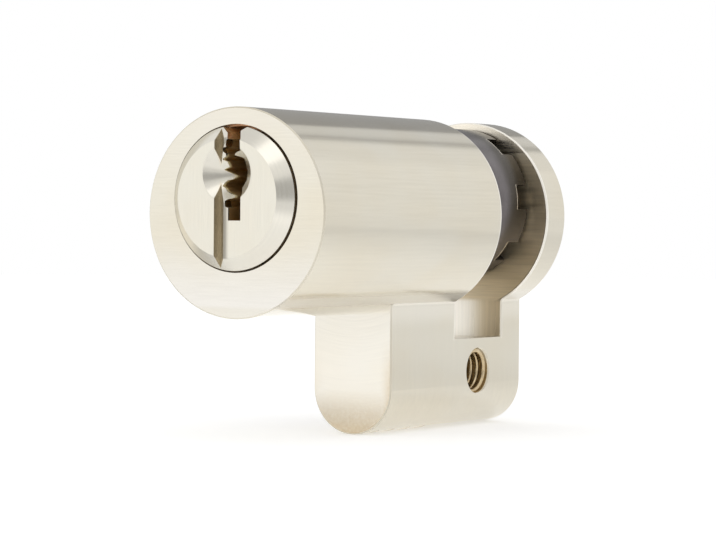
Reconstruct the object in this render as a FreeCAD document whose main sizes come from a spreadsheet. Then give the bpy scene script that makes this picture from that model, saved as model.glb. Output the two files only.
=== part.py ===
import FreeCAD, Part
import Sketcher
import os

# A half cylinder lock of the round 22 mm profile: a barrel with a hanging web, a key plug that
# stands out of its front, four pin stacks in the web, and a driven cam in a slot near the rear.
#
# Frame, in millimetres: the origin is the middle of the fixing screw hole, +X runs along that
# hole, +Y along the lock to its rear, and +Z up. The key side faces -Y. The pins are drawn at
# the shear line, as with the key in, so that the plug is free to turn.

V = FreeCAD.Vector

# Driving sizes: alias, millimetres (or a count or degrees, where it says so), and meaning.
SIZES = (
    # Housing
    ("barrel_d", 22.0, "outer diameter of the round barrel"),
    ("front_length", 42.5, "fixing screw hole to front face"),
    ("rear_length", 10.0, "fixing screw hole to rear face"),
    ("barrel_height", 17.85, "fixing screw hole to barrel axis"),
    ("web_width", 10.0, "thickness of the web, and diameter of its round foot"),
    ("web_drop", 6.45, "fixing screw hole to the lowest point of the web"),
    ("web_front", 19.4, "fixing screw hole to the front face of the web"),
    ("slot_length", 10.8, "length of the cam slot along the lock"),
    ("slot_floor", 3.8, "fixing screw hole to the floor of the cam slot"),
    ("junction_r", 0.5, "fillet where the web meets the barrel"),
    ("edge_break", 0.15, "bevel of milled edges"),
    ("rear_edge", 0.35, "bevel of the barrel's rear rim"),
    ("screw_d", 5.0, "major diameter of the fixing screw thread"),
    ("screw_mouth", 0.2, "bevel at both mouths of the fixing screw hole"),
    # Key plug
    ("plug_lift", 1.5, "barrel axis to plug axis"),
    ("plug_d", 15.0, "diameter of the key plug"),
    ("plug_play", 0.05, "running clearance of the plug, on the radius"),
    ("mouth_gap", 0.2, "visible gap round the plug at the front face"),
    ("mouth_depth", 1.2, "depth of that gap"),
    ("plug_proud", 1.6, "how far the plug stands out of the front face"),
    ("plug_bevel", 1.35, "bevel round the plug's front"),
    ("plug_tail", 1.9, "how far the plug reaches into the cam slot"),
    ("cone_d", 6.0, "mouth diameter of the right-angled lead-in cone for the key"),
    ("cone_lift", 2.55, "plug axis to the cone's middle"),
    ("groove_left", 1.55, "plug axis to the far edge of the upright guide groove"),
    ("groove_valley", 1.47, "plug axis to the bottom line of that groove"),
    ("groove_depth", 1.2, "depth of that groove"),
    ("groove_lip", 0.5, "width of the shallow lip on its near side"),
    ("groove_lip_depth", 0.2, "depth of the groove where that lip begins"),
    ("keyway_left", 0.22, "plug's middle plane to the left wall of the key slot's foot"),
    ("keyway_right", 1.75, "plug's middle plane to the key slot's right wall"),
    ("keyway_foot", 2.3, "plug axis down to the foot of the key slot"),
    # Retaining ring
    ("clip_thickness", 1.0, "thickness of the retaining ring"),
    ("clip_d", 16.4, "outer diameter of the retaining ring"),
    ("clip_seat_d", 13.6, "bottom diameter of its groove in the plug"),
    ("clip_play", 0.05, "clearance of the retaining ring in its groove"),
    ("clip_mouth", 9.0, "width of the opening of the retaining ring"),
    # Pin stacks
    ("pin_side", 0.8, "plug's middle plane to the pins' own"),
    ("pin_d", 2.5, "diameter of the pins"),
    ("pin_play", 0.05, "running clearance of the pins, on the radius"),
    ("pin_bevel", 0.3, "bevel at the pins' flat ends"),
    ("pin_tip_d", 0.8, "flat on the tip of a key pin"),
    ("pin_waist_d", 1.9, "waist of the spool-shaped driver pins"),
    ("pin_collar", 0.9, "length of the full diameter at both ends of such a waist"),
    ("end_wall", 0.7, "wall between the end pins and the web's front face and slot"),
    ("chamber_top", 0.8, "plug axis to the closed ends of the pin bores in the plug"),
    ("driver_length", 5.0, "length of the driver pins"),
    ("shear_gap", 0.03, "gap between plug or bore and pin at the shear line"),
    ("stopper_height", 3.3, "height of the stoppers that close the pin bores"),
    ("press_gap", 0.01, "gap that stands for a press fit, on the radius"),
    ("spring_wire", 0.32, "wire of the pin springs"),
    ("spring_d", 2.3, "outer diameter of the pin springs"),
    ("spring_turns", 9.0, "turns of the pin springs, a count"),
    ("spring_gap", 0.05, "gap at both ends of a spring"),
    # Driven end
    ("hub_d", 12.4, "diameter of the hub that carries the cam"),
    ("hub_play", 0.05, "running clearance on the hub and its journal, on the radius"),
    ("tongue_width", 3.0, "thickness of the hub's driving tongue, with its play"),
    ("tongue_play", 0.05, "clearance of the tongue in the plug, on each side"),
    ("tongue_length", 2.5, "how far the tongue reaches into the plug"),
    ("journal_d", 9.0, "diameter of the hub's rear journal"),
    ("journal_length", 2.5, "length of the journal in the rear wall"),
    ("end_gap", 0.1, "end play of the pieces in the cam slot"),
    ("ring_d", 17.4, "outer diameter of the cam's ring"),
    ("ring_end_gap", 0.35, "gap between the ring and the slot's rear wall"),
    ("recess_play", 0.1, "clearance of the ring round the plug's end, on the radius"),
    ("lever_reach", 15.0, "plug axis to the tip of the cam's lever"),
    ("lever_width", 8.0, "width of the lever"),
    ("cam_edge", 0.3, "bevel of the cam's outer edges"),
    ("notch_width", 2.75, "width of the notches in the ring's rear edge"),
    ("notch_length", 2.6, "length of those notches along the lock"),
    ("notch_count", 8.0, "how many notches the ring has, a count"),
    ("cam_angle", 5.0, "turn of the cam and its lock pin from level, in degrees"),
    # Lock pin of the cam
    ("lock_head_d", 1.6, "diameter of the lock pin's head"),
    ("lock_head_sunk", 0.8, "outside of the cam's ring to the top of that head"),
    ("lock_collar_d", 3.0, "diameter of the lock pin's collar"),
    ("lock_collar_sunk", 0.2, "outside of the hub to the top of that collar"),
    ("lock_collar_height", 1.2, "height of that collar"),
    ("lock_pin_back", 1.7, "rear edge of the ring to the lock pin's axis"),
    ("lock_hole_floor", 1.5, "plug axis to the floor of the lock pin's hole"),
    ("lock_spring_wire", 0.25, "wire of the lock pin's spring"),
    ("lock_spring_d", 2.6, "outer diameter of that spring"),
    ("lock_spring_turns", 4.0, "turns of that spring, a count"),
    # Hardened pins against drilling
    ("guard_d", 1.6, "diameter of the hardened pins"),
    ("guard_back", 4.0, "front face of housing or plug to the first hardened pins in it"),
    ("plug_guard_side", 4.4, "plug axis to the hardened pins in the plug"),
    ("plug_guard_top", 3.0, "plug axis to their upper ends"),
    ("housing_guard_wall", 1.2, "wall between the plug's bore and the housing's hardened pins"),
    ("housing_guard_reach", 5.0, "barrel axis to the blind ends of those pins"),
    ("housing_guard_pitch", 3.2, "distance from one of those pins to the next"),
    # Key pins, from the shear line to the tip, as the key's cuts ask
    ("key_pin_1", 5.2, "length of the key pin nearest the front"),
    ("key_pin_2", 5.9, "length of the second key pin"),
    ("key_pin_3", 4.8, "length of the third key pin"),
    ("key_pin_4", 6.2, "length of the key pin nearest the slot"),
)
STACKS = (1, 2, 3, 4)
WAISTED_DRIVERS = (2, 3)
HOUSING_GUARDS = (1, 2)
SIDES = (("left", -1), ("right", 1))

# The key slot's left wall from the top down, with its flared mouth and its wards: distance to
# the right of the plug's middle plane, and height over the plug axis.
LEFT_WARDS = (
    (-1.5, 7.45), (-0.32, 6.74), (0.1, 6.1), (-0.07, 6.0), (-0.24, 5.31), (-0.6, 5.2),
    (-0.98, 5.07), (-0.85, 4.8), (-0.69, 4.58), (-0.78, 4.33), (-1.22, 4.08), (-1.2, 3.95),
    (-0.91, 3.79), (-0.89, 3.25), (-1.17, 3.12), (-1.38, 2.95), (-1.04, 2.72), (-0.34, 2.3),
    (-0.66, 1.99), (-1.03, 1.88), (-1.22, 1.63), (-1.29, 1.25), (-0.93, 1.02), (-0.63, 0.72),
    (-0.03, 0.46), (0.75, 0.22), (0.75, 0.08), (-0.04, -0.1), (-0.29, -0.3), (-0.21, -0.85),
)
FOOT_WARD_TOP = -1.0
# Its right wall from below: how far a ward stands out of the wall, and its height.
RIGHT_WARDS = (
    (0.0, 0.5), (0.5, 1.05), (0.39, 1.42), (0.0, 1.82), (0.0, 4.1), (0.95, 4.33), (1.45, 4.43),
    (1.39, 4.56), (0.87, 4.77), (0.1, 4.9), (0.15, 6.1), (0.63, 6.94), (0.15, 7.35),
)

doc = FreeCAD.newDocument("half_cylinder")
sheet = doc.addObject("Spreadsheet::Sheet", "Sizes")
for row, (alias, value, meaning) in enumerate(SIZES, 1):
    sheet.set(f"A{row}", meaning)
    sheet.set(f"B{row}", str(value))
    sheet.setAlias(f"B{row}", alias)
doc.recompute()


def size(formula):
    """A formula on the sheet's aliases, written as an expression: each @ stands for the sheet."""
    return "(" + formula.replace("@", "Sizes.") + ")"


def number(expression):
    """What an expression gives with the sizes as they are now."""
    return float(sheet.evalExpression(expression))


# Places worked out from the sizes
FRONT = size("-@front_length")
REAR = size("@rear_length")
SLOT_FRONT = size("-@slot_length / 2")
SLOT_REAR = size("@slot_length / 2")
FOOT_R = size("@web_width / 2")
FOOT_HEIGHT = size("@web_width / 2 - @web_drop")
BARREL_AXIS = size("@barrel_height")
PLUG_AXIS = size("@barrel_height + @plug_lift")
PLUG_R = size("@plug_d / 2")
PLUG_FRONT = size("-@front_length - @plug_proud")
PLUG_REAR = size("-@slot_length / 2 + @plug_tail")
BORE_R = size("@plug_d / 2 + @plug_play")
CLIP_FRONT = size("-@slot_length / 2 + @end_gap")
CLIP_REAR = size("-@slot_length / 2 + @end_gap + @clip_thickness")
HUB_FRONT = size("-@slot_length / 2 + @plug_tail + @end_gap")
HUB_REAR = size("@slot_length / 2 - @end_gap")
HUB_R = size("@hub_d / 2")
RING_FRONT = size("-@slot_length / 2 + 2 * @end_gap + @clip_thickness")
RING_REAR = size("@slot_length / 2 - @ring_end_gap")
RING_R = size("@ring_d / 2")
LOCK_Y = size("@slot_length / 2 - @ring_end_gap - @lock_pin_back")
LOCK_HEAD_TOP = size("@ring_d / 2 - @lock_head_sunk")
LOCK_COLLAR_TOP = size("@hub_d / 2 - @lock_collar_sunk")
LOCK_COLLAR_FOOT = size("@hub_d / 2 - @lock_collar_sunk - @lock_collar_height")

# The pin row stands under the middle of the key slot, spread between the web's front and the slot
CHAMBER_D = size("@pin_d + 2 * @pin_play")
PIN_X = size("@pin_side")
FIRST_PIN_Y = size("-@web_front + @end_wall + @pin_d / 2 + @pin_play")
LAST_PIN_Y = size("-@slot_length / 2 - @end_wall - @pin_d / 2 - @pin_play")
PIN_PITCH = f"(({LAST_PIN_Y} - {FIRST_PIN_Y}) / {len(STACKS) - 1})"
# A key pin's flat foot stays inside the plug's round, and a driver's top stays outside it
FOOT_CORNER = size("@pin_side + @pin_d / 2 - @pin_bevel")
KEY_PIN_FOOT = f"({PLUG_AXIS} - sqrt({PLUG_R}^2 - {FOOT_CORNER}^2) + Sizes.shear_gap)"
DRIVER_TOP = f"({PLUG_AXIS} - {PLUG_R} - Sizes.shear_gap)"
STOPPER_TOP = size("@stopper_height - @web_drop")
HOUSING_GUARD_HEIGHT = f"({PLUG_AXIS} - {BORE_R} - Sizes.housing_guard_wall - Sizes.guard_d / 2)"

BEYOND = 1.0  # how far a cutting profile runs past the stock
ROUND = 360.0  # a full turn in degrees
ALONG = FreeCAD.Rotation(V(1, 0, 0), -90)  # lays an upright piece towards +Y
ACROSS = FreeCAD.Rotation(V(0, 1, 0), 90)  # lays an upright piece towards +X


def pin_y(stack):
    """Place along the lock of a pin stack, counted from the front."""
    return f"({FIRST_PIN_Y} + {stack - 1} * {PIN_PITCH})"


def new_body(label, across="0", along="0", height="0"):
    """A body with its own label, placed by three expressions."""
    body = doc.addObject("PartDesign::Body", label)
    body.Label = label
    for axis, expression in zip("xyz", (across, along, height)):
        if expression != "0":
            body.setExpression(f"Placement.Base.{axis}", expression)
    return body


def new_sketch(body, name, plane, across="0", up="0", out="0", tilt=None):
    """A sketch on one of the body's own origin planes, shifted by three expressions.

    The planes are "XY", "XZ" (it looks along -Y) and "YZ" (it looks along +X). A tilt is an
    expression in degrees about the sketch's own horizontal axis, turned backwards.
    """
    sketch = body.newObject("Sketcher::SketchObject", f"{body.Label}_{name}")
    support = next(f for f in body.Origin.OriginFeatures if f.Role == f"{plane}_Plane")
    sketch.AttachmentSupport = [(support, "")]
    sketch.MapMode = "FlatFace"
    if tilt:
        turned = FreeCAD.Rotation(V(-1, 0, 0), number(tilt))
        sketch.AttachmentOffset = FreeCAD.Placement(V(0, 0, 0), turned)
        sketch.setExpression("AttachmentOffset.Rotation.Angle", tilt)
    for axis, expression in zip("xyz", (across, up, out)):
        if expression != "0":
            sketch.setExpression(f"AttachmentOffset.Base.{axis}", expression)
    return sketch


def draw_circle(sketch, diameter):
    """A circle about the sketch's origin."""
    curve = Part.Circle(V(0, 0, 0), V(0, 0, 1), number(diameter) / 2)
    index = sketch.addGeometry(curve, False)
    sketch.addConstraint(Sketcher.Constraint("Coincident", index, 3, -1, 1))
    ruled = sketch.addConstraint(Sketcher.Constraint("Diameter", index, number(diameter)))
    sketch.setExpression(f"Constraints[{ruled}]", diameter)


def draw_outline(sketch, corners):
    """A closed outline of straight sides through corners, each a pair of expressions."""
    points = [V(number(across), number(up), 0) for across, up in corners]
    count = len(points)
    for i in range(count):
        sketch.addGeometry(Part.LineSegment(points[i], points[(i + 1) % count]), False)
    for i in range(count):
        sketch.addConstraint(Sketcher.Constraint("Coincident", i, 2, (i + 1) % count, 1))
    for i, corner in enumerate(corners):
        for kind, expression in zip(("DistanceX", "DistanceY"), corner):
            rule = Sketcher.Constraint(kind, -1, 1, i, 1, number(expression))
            ruled = sketch.addConstraint(rule)
            sketch.setExpression(f"Constraints[{ruled}]", expression)


def draw_box(sketch, left, right, low, high):
    """A rectangle between four expressions."""
    draw_outline(sketch, [(left, low), (right, low), (right, high), (left, high)])


def add_feature(body, kind, name, sketch, **settings):
    """A PartDesign feature on a sketch. A setting that is text and no option is an expression."""
    feature = body.newObject(f"PartDesign::{kind}", f"{body.Label}_{name}")
    feature.Profile = sketch
    sketch.Visibility = False
    for key, value in settings.items():
        if isinstance(value, str) and key not in ("SideType", "Mode"):
            feature.setExpression(key, value)
        else:
            setattr(feature, key, value)
    return feature


def extrude(body, name, sketch, length, forward=True, cut=False):
    """A pad or pocket that runs forward or backward along the sketch's normal."""
    if cut:
        return add_feature(body, "Pocket", name, sketch, Length=length, Reversed=forward)
    return add_feature(body, "Pad", name, sketch, Length=length, Reversed=not forward)


def cut_both_ways(body, name, sketch, length):
    """A pocket that runs half its length to each side of the sketch."""
    return add_feature(body, "Pocket", name, sketch, Length=length, SideType="Symmetric")


def turn(body, name, sketch, axis="H_Axis", cut=False):
    """A full turn of a profile about one of its sketch's own axes."""
    kind = "Groove" if cut else "Revolution"
    return add_feature(body, kind, name, sketch, ReferenceAxis=(sketch, [axis]), Angle=ROUND)


def break_edges(body, name, kind, dimension, expression, chosen):
    """A chamfer or fillet on the edges of the body's tip that the chosen test picks."""
    doc.recompute()
    base = body.Tip
    edges = [f"Edge{i}" for i, edge in enumerate(base.Shape.Edges, 1) if chosen(edge)]
    feature = body.newObject(f"PartDesign::{kind}", f"{body.Label}_{name}")
    feature.Base = (base, edges)
    feature.setExpression(dimension, expression)
    return feature


def lies_at(edge, axis, place, slack=1e-4):
    """Whether an edge lies in the plane across an axis at a place."""
    box = edge.BoundBox
    low, high = getattr(box, f"{axis}Min"), getattr(box, f"{axis}Max")
    return abs(low - place) < slack and abs(high - place) < slack


def bevelled_pin(body, radius, length, tip=None):
    """Half outline of an upright pin on the body's axis: a bevelled foot, and a tip or bevel."""
    bevel = size("@pin_bevel")
    outline = [("0", "0"), (f"{radius} - {bevel}", "0"), (radius, bevel)]
    if tip:
        outline += [(radius, f"{length} - {radius} + {tip}"), (tip, length)]
    else:
        outline += [(radius, f"{length} - {bevel}"), (f"{radius} - {bevel}", length)]
    outline.append(("0", length))
    sketch = new_sketch(body, "outline", "XZ")
    draw_outline(sketch, outline)
    return turn(body, "turned", sketch, "V_Axis")


def coil(body, wire, outer, base, height, turns):
    """A round-wire spring that stands upright on the body's axis, from a base to a height over it."""
    sketch = new_sketch(body, "wire", "XZ", across=f"({outer} - {wire}) / 2",
                        up=f"{base} + {wire} / 2")
    draw_circle(sketch, wire)
    axis = next(f for f in body.Origin.OriginFeatures if f.Role == "Z_Axis")
    rise = f"{height} - {wire}"
    return add_feature(body, "AdditiveHelix", "coil", sketch, Mode="height-turns-angle",
                       ReferenceAxis=(axis, [""]), Height=rise, Turns=turns)


def housing():
    """Barrel with its web, bored for the plug and the pins and slotted for the cam."""
    body = new_body("housing")
    barrel_r = size("@barrel_d / 2")
    rim, rear_edge = size("@edge_break"), size("@rear_edge")

    web_start, web_length = size("@web_front"), size("@web_front + @rear_length")
    web = new_sketch(body, "web_outline", "XZ", out=web_start)
    draw_box(web, f"-{FOOT_R}", FOOT_R, FOOT_HEIGHT, BARREL_AXIS)
    extrude(body, "web", web, web_length, forward=False)
    foot = new_sketch(body, "foot_outline", "XZ", up=FOOT_HEIGHT, out=web_start)
    draw_circle(foot, size("@web_width"))
    extrude(body, "foot", foot, web_length, forward=False)
    web_ends, web_top = (number(f"-{web_start}"), number(REAR)), number(BARREL_AXIS)
    break_edges(body, "web_ends", "Chamfer", "Size", rim, lambda edge: (
        any(lies_at(edge, "Y", place) for place in web_ends)
        and not lies_at(edge, "Z", web_top)))

    barrel = new_sketch(body, "barrel_outline", "YZ", up=BARREL_AXIS)
    draw_outline(barrel, [
        (FRONT, "0"), (FRONT, f"{barrel_r} - {rim}"), (f"{FRONT} + {rim}", barrel_r),
        (f"{REAR} - {rear_edge}", barrel_r), (REAR, f"{barrel_r} - {rear_edge}"), (REAR, "0"),
    ])
    turn(body, "barrel", barrel)
    junction = number(f"{BARREL_AXIS} - sqrt({barrel_r}^2 - {FOOT_R}^2)")
    half_web = number(FOOT_R)
    break_edges(body, "junction", "Fillet", "Radius", size("@junction_r"), lambda edge: (
        lies_at(edge, "Z", junction)
        and any(lies_at(edge, "X", side * half_web) for _, side in SIDES)))

    slot = new_sketch(body, "slot_outline", "YZ")
    slot_top = f"{BARREL_AXIS} + {barrel_r} + {BEYOND}"
    draw_box(slot, SLOT_FRONT, SLOT_REAR, size("@slot_floor"), slot_top)
    cut_both_ways(body, "slot", slot, f"Sizes.barrel_d + 2 * {BEYOND}")
    slot_ends, slot_floor = (number(SLOT_FRONT), number(SLOT_REAR)), number(size("@slot_floor"))
    break_edges(body, "slot_edges", "Chamfer", "Size", rim, lambda edge: (
        any(lies_at(edge, "Y", place) for place in slot_ends)
        and not lies_at(edge, "Z", slot_floor)))

    bore = new_sketch(body, "bore_outline", "XZ", up=PLUG_AXIS, out=size("@front_length"))
    draw_circle(bore, f"2 * {BORE_R}")
    extrude(body, "bore", bore, size("@front_length"), forward=False, cut=True)
    mouth = new_sketch(body, "mouth_outline", "XZ", up=PLUG_AXIS, out=size("@front_length"))
    draw_circle(mouth, size("@plug_d + 2 * @mouth_gap"))
    extrude(body, "mouth", mouth, size("@mouth_depth"), forward=False, cut=True)
    bearing = new_sketch(body, "bearing_outline", "XZ", up=PLUG_AXIS, out=f"-{SLOT_REAR}")
    draw_circle(bearing, size("@journal_d + 2 * @hub_play"))
    extrude(body, "bearing", bearing, size("@journal_length + @end_gap"), forward=False, cut=True)

    chamber = new_sketch(body, "chamber_outline", "XY", across=PIN_X, up=FIRST_PIN_Y, out=PLUG_AXIS)
    draw_circle(chamber, CHAMBER_D)
    first = extrude(body, "chamber", chamber, f"{PLUG_AXIS} + Sizes.web_drop + {BEYOND}",
                    forward=False, cut=True)
    row_of_four(body, chamber, first)

    screw = new_sketch(body, "screw_outline", "XY")
    screw_r, lead = size("@screw_d / 2"), size("@screw_mouth")
    draw_outline(screw, [
        (f"-{FOOT_R}", "0"), (f"-{FOOT_R}", f"{screw_r} + {lead}"), (f"-{FOOT_R} + {lead}", screw_r),
        (f"{FOOT_R} - {lead}", screw_r), (FOOT_R, f"{screw_r} + {lead}"), (FOOT_R, "0"),
    ])
    turn(body, "screw_hole", screw, cut=True)

    for place in HOUSING_GUARDS:
        hole = new_sketch(body, f"guard_{place}_outline", "YZ", across=housing_guard_y(place),
                          up=HOUSING_GUARD_HEIGHT, out=size("@housing_guard_reach"))
        draw_circle(hole, size("@guard_d"))
        extrude(body, f"guard_{place}", hole, size("@barrel_d"), forward=False, cut=True)
    return body


def row_of_four(body, sketch, feature):
    """Repeat a pin bore along the row."""
    row = body.newObject("PartDesign::LinearPattern", f"{body.Label}_row")
    row.Originals = [feature]
    row.Direction = (sketch, ["V_Axis"])
    row.Mode = "Extent"
    row.setExpression("Length", f"{len(STACKS) - 1} * {PIN_PITCH}")
    row.Occurrences = len(STACKS)
    body.Tip = row
    return row


def housing_guard_y(place):
    """Place along the lock of one of the housing's hardened pins, counted from the front."""
    return size(f"@guard_back - @front_length + {place - 1} * @housing_guard_pitch")


def plug():
    """Key plug: a turned bar with the keyway, the lead-in cone, the guide groove and pin bores."""
    body = new_body("plug", height=PLUG_AXIS)
    bevel, seat_r = size("@plug_bevel"), size("@clip_seat_d / 2")
    bar = new_sketch(body, "bar_outline", "YZ")
    draw_outline(bar, [
        (PLUG_FRONT, "0"), (PLUG_FRONT, f"{PLUG_R} - {bevel}"), (f"{PLUG_FRONT} + {bevel}", PLUG_R),
        (f"{CLIP_FRONT} - Sizes.clip_play", PLUG_R), (f"{CLIP_FRONT} - Sizes.clip_play", seat_r),
        (f"{CLIP_REAR} + Sizes.clip_play", seat_r), (f"{CLIP_REAR} + Sizes.clip_play", PLUG_R),
        (PLUG_REAR, PLUG_R), (PLUG_REAR, "0"),
    ])
    turn(body, "bar", bar)

    cone = new_sketch(body, "cone_outline", "YZ", up=size("@cone_lift"))
    cone_r = size("@cone_d / 2")
    draw_outline(cone, [(PLUG_FRONT, "0"), (PLUG_FRONT, cone_r), (f"{PLUG_FRONT} + {cone_r}", "0")])
    turn(body, "cone", cone, cut=True)

    groove = new_sketch(body, "groove_outline", "XY")
    left, valley = size("-@groove_left"), size("-@groove_valley")
    draw_outline(groove, [
        (left, f"{PLUG_FRONT} - {BEYOND}"), (left, PLUG_FRONT),
        (valley, f"{PLUG_FRONT} + Sizes.groove_depth"),
        (size("-@groove_lip"), f"{PLUG_FRONT} + Sizes.groove_lip_depth"), ("0", PLUG_FRONT),
        ("0", f"{PLUG_FRONT} - {BEYOND}"),
    ])
    cut_both_ways(body, "groove", groove, f"Sizes.plug_d + 2 * {BEYOND}")

    keyway = new_sketch(body, "keyway_outline", "XZ", out=f"{BEYOND} - {PLUG_FRONT}")
    top, foot = f"{PLUG_R} + {BEYOND}", size("-@keyway_foot")
    left, right = size("@keyway_left"), size("@keyway_right")
    walls = [(str(LEFT_WARDS[0][0]), top)]
    walls += [(str(across), str(height)) for across, height in LEFT_WARDS]
    walls += [(left, str(FOOT_WARD_TOP)), (left, foot), (right, foot)]
    walls += [(f"{right} - {proud}", str(height)) for proud, height in RIGHT_WARDS]
    walls.append((f"{right} - {RIGHT_WARDS[-1][0]}", top))
    draw_outline(keyway, walls)
    extrude(body, "keyway", keyway, f"{PLUG_REAR} - {PLUG_FRONT} + 2 * {BEYOND}",
            forward=False, cut=True)

    chamber = new_sketch(body, "chamber_outline", "XY", across=PIN_X, up=FIRST_PIN_Y,
                         out=size("@chamber_top"))
    draw_circle(chamber, CHAMBER_D)
    first = extrude(body, "chamber", chamber, size("@chamber_top + @plug_d / 2"),
                    forward=False, cut=True)
    row_of_four(body, chamber, first)

    slot = new_sketch(body, "tongue_slot_outline", "YZ")
    half = size("@tongue_width / 2")
    draw_box(slot, f"{PLUG_REAR} - Sizes.tongue_length - Sizes.end_gap", f"{PLUG_REAR} + {BEYOND}",
             f"-{half}", half)
    cut_both_ways(body, "tongue_slot", slot, f"Sizes.plug_d + 2 * {BEYOND}")

    for side, sign in SIDES:
        hole = new_sketch(body, f"guard_{side}_outline", "XY",
                          across=f"{sign} * Sizes.plug_guard_side",
                          up=f"{PLUG_FRONT} + Sizes.guard_back", out=size("@plug_guard_top"))
        draw_circle(hole, size("@guard_d"))
        extrude(body, f"guard_{side}", hole, size("@plug_d"), forward=False, cut=True)
    return body


def retaining_ring():
    """Open ring in the plug's groove, which keeps the plug from being drawn out."""
    body = new_body("retaining_ring", height=PLUG_AXIS)
    start = f"-{CLIP_FRONT}"
    disc = new_sketch(body, "disc_outline", "XZ", out=start)
    draw_circle(disc, size("@clip_d"))
    extrude(body, "disc", disc, size("@clip_thickness"), forward=False)
    hole = new_sketch(body, "hole_outline", "XZ", out=start)
    draw_circle(hole, size("@clip_seat_d + 2 * @clip_play"))
    extrude(body, "hole", hole, size("@clip_thickness"), forward=False, cut=True)
    mouth = new_sketch(body, "mouth_outline", "XZ", out=start)
    half = size("@clip_mouth / 2")
    draw_box(mouth, f"-{half}", half, size("-@clip_d / 2 - @clip_thickness"), "0")
    extrude(body, "mouth", mouth, size("@clip_thickness"), forward=False, cut=True)
    break_edges(body, "edges", "Chamfer", "Size", size("@edge_break"), lambda edge: (
        isinstance(edge.Curve, Part.Circle)))
    return body


def cam_hub():
    """Hub behind the plug: its tongue is turned by the plug, and its journal runs in the rear wall."""
    body = new_body("cam_hub", height=PLUG_AXIS)
    rim, journal_r = size("@edge_break"), size("@journal_d / 2")
    journal_end = size("@slot_length / 2 + @journal_length")
    turned = new_sketch(body, "turned_outline", "YZ")
    draw_outline(turned, [
        (HUB_FRONT, "0"), (HUB_FRONT, HUB_R), (f"{HUB_REAR} - {rim}", HUB_R),
        (HUB_REAR, f"{HUB_R} - {rim}"), (HUB_REAR, journal_r),
        (f"{journal_end} - {rim}", journal_r), (journal_end, f"{journal_r} - {rim}"),
        (journal_end, "0"),
    ])
    turn(body, "turned", turned)

    tongue = new_sketch(body, "tongue_outline", "XZ", out=f"-{HUB_FRONT}")
    half_width = size("@tongue_width / 2 - @tongue_play")
    half_length = f"(sqrt({HUB_R}^2 - {half_width}^2) - {rim})"
    draw_box(tongue, f"-{half_length}", half_length, f"-{half_width}", half_width)
    extrude(body, "tongue", tongue, size("@tongue_length + @end_gap"))

    floor, angle = size("@lock_hole_floor"), size("@cam_angle")
    hole = new_sketch(body, "lock_hole_outline", "YZ", across=LOCK_Y, up=f"{floor} * sin({angle})",
                      out=f"{floor} * cos({angle})", tilt=angle)
    draw_circle(hole, size("@lock_collar_d + 2 * @pin_play"))
    extrude(body, "lock_hole", hole, HUB_R, cut=True)
    return body


def cam():
    """Ring with the lever that works the lock case, and notches to set it at other angles."""
    body = new_body("cam", height=PLUG_AXIS)
    body.Placement.Rotation = FreeCAD.Rotation(V(0, -1, 0), number(size("@cam_angle")))
    body.setExpression("Placement.Rotation.Angle", size("@cam_angle"))
    start, width = f"-{RING_FRONT}", f"({RING_REAR} - {RING_FRONT})"
    reach = size("@lever_reach")

    disc = new_sketch(body, "disc_outline", "XZ", out=start)
    draw_circle(disc, size("@ring_d"))
    extrude(body, "disc", disc, width, forward=False)
    lever = new_sketch(body, "lever_outline", "XZ", out=start)
    half = size("@lever_width / 2")
    draw_box(lever, f"-{reach} - {BEYOND}", "0", f"-{half}", half)
    extrude(body, "lever", lever, width, forward=False)
    tip = new_sketch(body, "tip_outline", "XZ", out=start)
    draw_circle(tip, f"2 * {reach}")
    draw_circle(tip, f"2 * {reach} + Sizes.lever_width")
    extrude(body, "tip", tip, width, forward=False, cut=True)
    ends = (number(RING_FRONT), number(RING_REAR))
    break_edges(body, "edges", "Chamfer", "Size", size("@cam_edge"), lambda edge: (
        any(lies_at(edge, "Y", place) for place in ends)))

    bore = new_sketch(body, "bore_outline", "XZ", out=start)
    draw_circle(bore, size("@hub_d + 2 * @hub_play"))
    extrude(body, "bore", bore, width, forward=False, cut=True)
    recess = new_sketch(body, "recess_outline", "XZ", out=start)
    draw_circle(recess, size("@plug_d + 2 * @recess_play"))
    extrude(body, "recess", recess, f"{HUB_FRONT} - {RING_FRONT}", forward=False, cut=True)

    notch = new_sketch(body, "notch_outline", "YZ")
    half = size("@notch_width / 2")
    draw_box(notch, f"{RING_REAR} - Sizes.notch_length", f"{RING_REAR} + {BEYOND}", f"-{half}", half)
    first = extrude(body, "notch", notch, f"{RING_R} + Sizes.edge_break", cut=True)
    ring_of = body.newObject("PartDesign::PolarPattern", "cam_notches")
    ring_of.Originals = [first]
    axis = next(f for f in body.Origin.OriginFeatures if f.Role == "Y_Axis")
    ring_of.Axis = (axis, [""])
    ring_of.Angle = ROUND
    ring_of.Occurrences = int(number(size("@notch_count")))
    body.Tip = ring_of
    return body


def on_lock_axis(label):
    """A body whose own upright axis is the lock pin's, counted from the plug axis outward."""
    body = new_body(label, along=LOCK_Y, height=PLUG_AXIS)
    upright = f"90 - {size('@cam_angle')}"
    body.Placement.Rotation = FreeCAD.Rotation(V(0, 1, 0), number(upright))
    body.setExpression("Placement.Rotation.Angle", upright)
    return body


def cam_lock_pin():
    """Stepped pin in the hub. Its head stands in a notch of the ring and turns the cam."""
    body = on_lock_axis("cam_lock_pin")
    collar_r, head_r = size("@lock_collar_d / 2"), size("@lock_head_d / 2")
    rim = size("@edge_break")
    sketch = new_sketch(body, "outline", "XZ")
    draw_outline(sketch, [
        ("0", LOCK_COLLAR_FOOT), (collar_r, LOCK_COLLAR_FOOT), (collar_r, LOCK_COLLAR_TOP),
        (head_r, LOCK_COLLAR_TOP), (head_r, f"{LOCK_HEAD_TOP} - {rim}"),
        (f"{head_r} - {rim}", LOCK_HEAD_TOP), ("0", LOCK_HEAD_TOP),
    ])
    turn(body, "turned", sketch, "V_Axis")
    return body


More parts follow.
